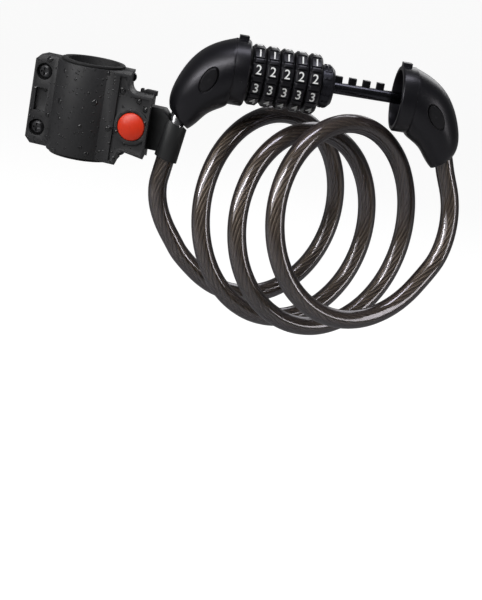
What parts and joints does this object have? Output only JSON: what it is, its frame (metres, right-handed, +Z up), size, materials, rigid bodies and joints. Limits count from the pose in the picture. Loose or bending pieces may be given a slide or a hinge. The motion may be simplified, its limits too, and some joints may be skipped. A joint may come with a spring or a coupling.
{
  "type": "coiled cable lock",
  "caption": "Coiled cable lock with a barrel of number dials and a toothed pin, carried by a quick-release bracket that clamps round a seat post.",
  "frame": {"origin": "on the seat post's axis at mid height of the bracket", "axes": "+Z up the seat post, +X along the lock's barrel towards its right elbow, +Y away from the viewer"},
  "size_m": [0.2284, 0.125, 0.1499],
  "materials": {
    "bracket_plastic": "matt dark grey plastic with a fine grain",
    "liner_rubber": "soft black rubber",
    "plated_steel": "zinc plated steel",
    "button_plastic": "bright orange red plastic",
    "spring_steel": "bare spring steel",
    "carrier_plastic": "dark grey plastic",
    "lock_plastic": "satin black plastic",
    "inlay_plastic": "smooth black plastic",
    "core_metal": "nickel plated cast metal",
    "nose_metal": "black coated cast metal",
    "dial_plastic": "satin black plastic with white figures",
    "pin_steel": "hardened plated steel",
    "cable_sheath": "smoky clear vinyl over a twisted steel cable"
  },
  "bodies": {
    "bracket": {"bracket_front_shell": "bracket_plastic", "bracket_rear_shell": "bracket_plastic", "post_liner_front": "liner_rubber", "post_liner_rear": "liner_rubber", "clamp_screws": "plated_steel", "clamp_nuts": "plated_steel", "rear_screws": "plated_steel", "latch_spring": "spring_steel"},
    "button": {"release_button": "button_plastic"},
    "carrier": {"lock_carrier": "carrier_plastic"},
    "lock": {"left_elbow_front": "lock_plastic", "left_elbow_rear": "lock_plastic", "left_inlay": "inlay_plastic", "left_band": "lock_plastic", "left_ferrule": "plated_steel", "lock_core": "core_metal", "nose_cap": "nose_metal", "spring_washer": "spring_steel", "cable_coil": "cable_sheath"},
    "place_1": {"dial_1": "dial_plastic", "code_ring_1": "core_metal"},
    "place_2": {"dial_2": "dial_plastic", "code_ring_2": "core_metal"},
    "place_3": {"dial_3": "dial_plastic", "code_ring_3": "core_metal"},
    "place_4": {"dial_4": "dial_plastic", "code_ring_4": "core_metal"},
    "place_5": {"dial_5": "dial_plastic", "code_ring_5": "core_metal"},
    "bolt": {"locking_pin": "pin_steel", "pin_anchor": "core_metal", "right_band": "lock_plastic", "right_elbow_front": "lock_plastic", "right_elbow_rear": "lock_plastic", "right_inlay": "inlay_plastic", "right_ferrule": "plated_steel"}
  },
  "joints": [
    {"name": "release_press", "type": "slide", "parent": "bracket", "child": "button", "axis": [0.342, 0.9397, 0], "range_m": [0, 0.0018], "stiffness_N_per_m": 400, "springref_m": -0.001, "deforming": ["latch_spring"]},
    {"name": "carrier_slide", "type": "slide", "parent": "bracket", "child": "carrier", "axis": [0.9397, -0.342, 0], "range_m": [0, 0.025]},
    {"name": "lock_swivel", "type": "hinge", "parent": "carrier", "child": "lock", "pos_m": [0.04464, -0.01625, -0.0071], "axis": [0.1323, 0, 0.9912], "range_deg": [-25, 25]},
    {"name": "dial_1_turn", "type": "hinge", "parent": "lock", "child": "place_1", "pos_m": [0.0815, -0.01625, 0.0335], "axis": [1, 0, 0], "continuous": true},
    {"name": "dial_2_turn", "type": "hinge", "parent": "lock", "child": "place_2", "pos_m": [0.0888, -0.01625, 0.0335], "axis": [1, 0, 0], "continuous": true},
    {"name": "dial_3_turn", "type": "hinge", "parent": "lock", "child": "place_3", "pos_m": [0.0961, -0.01625, 0.0335], "axis": [1, 0, 0], "continuous": true},
    {"name": "dial_4_turn", "type": "hinge", "parent": "lock", "child": "place_4", "pos_m": [0.1034, -0.01625, 0.0335], "axis": [1, 0, 0], "continuous": true},
    {"name": "dial_5_turn", "type": "hinge", "parent": "lock", "child": "place_5", "pos_m": [0.1107, -0.01625, 0.0335], "axis": [1, 0, 0], "continuous": true},
    {"name": "bolt_slide", "type": "slide", "parent": "lock", "child": "bolt", "axis": [1, 0, 0], "range_m": [-0.0392, 0.015], "deforming": ["cable_coil"]}
  ]
}
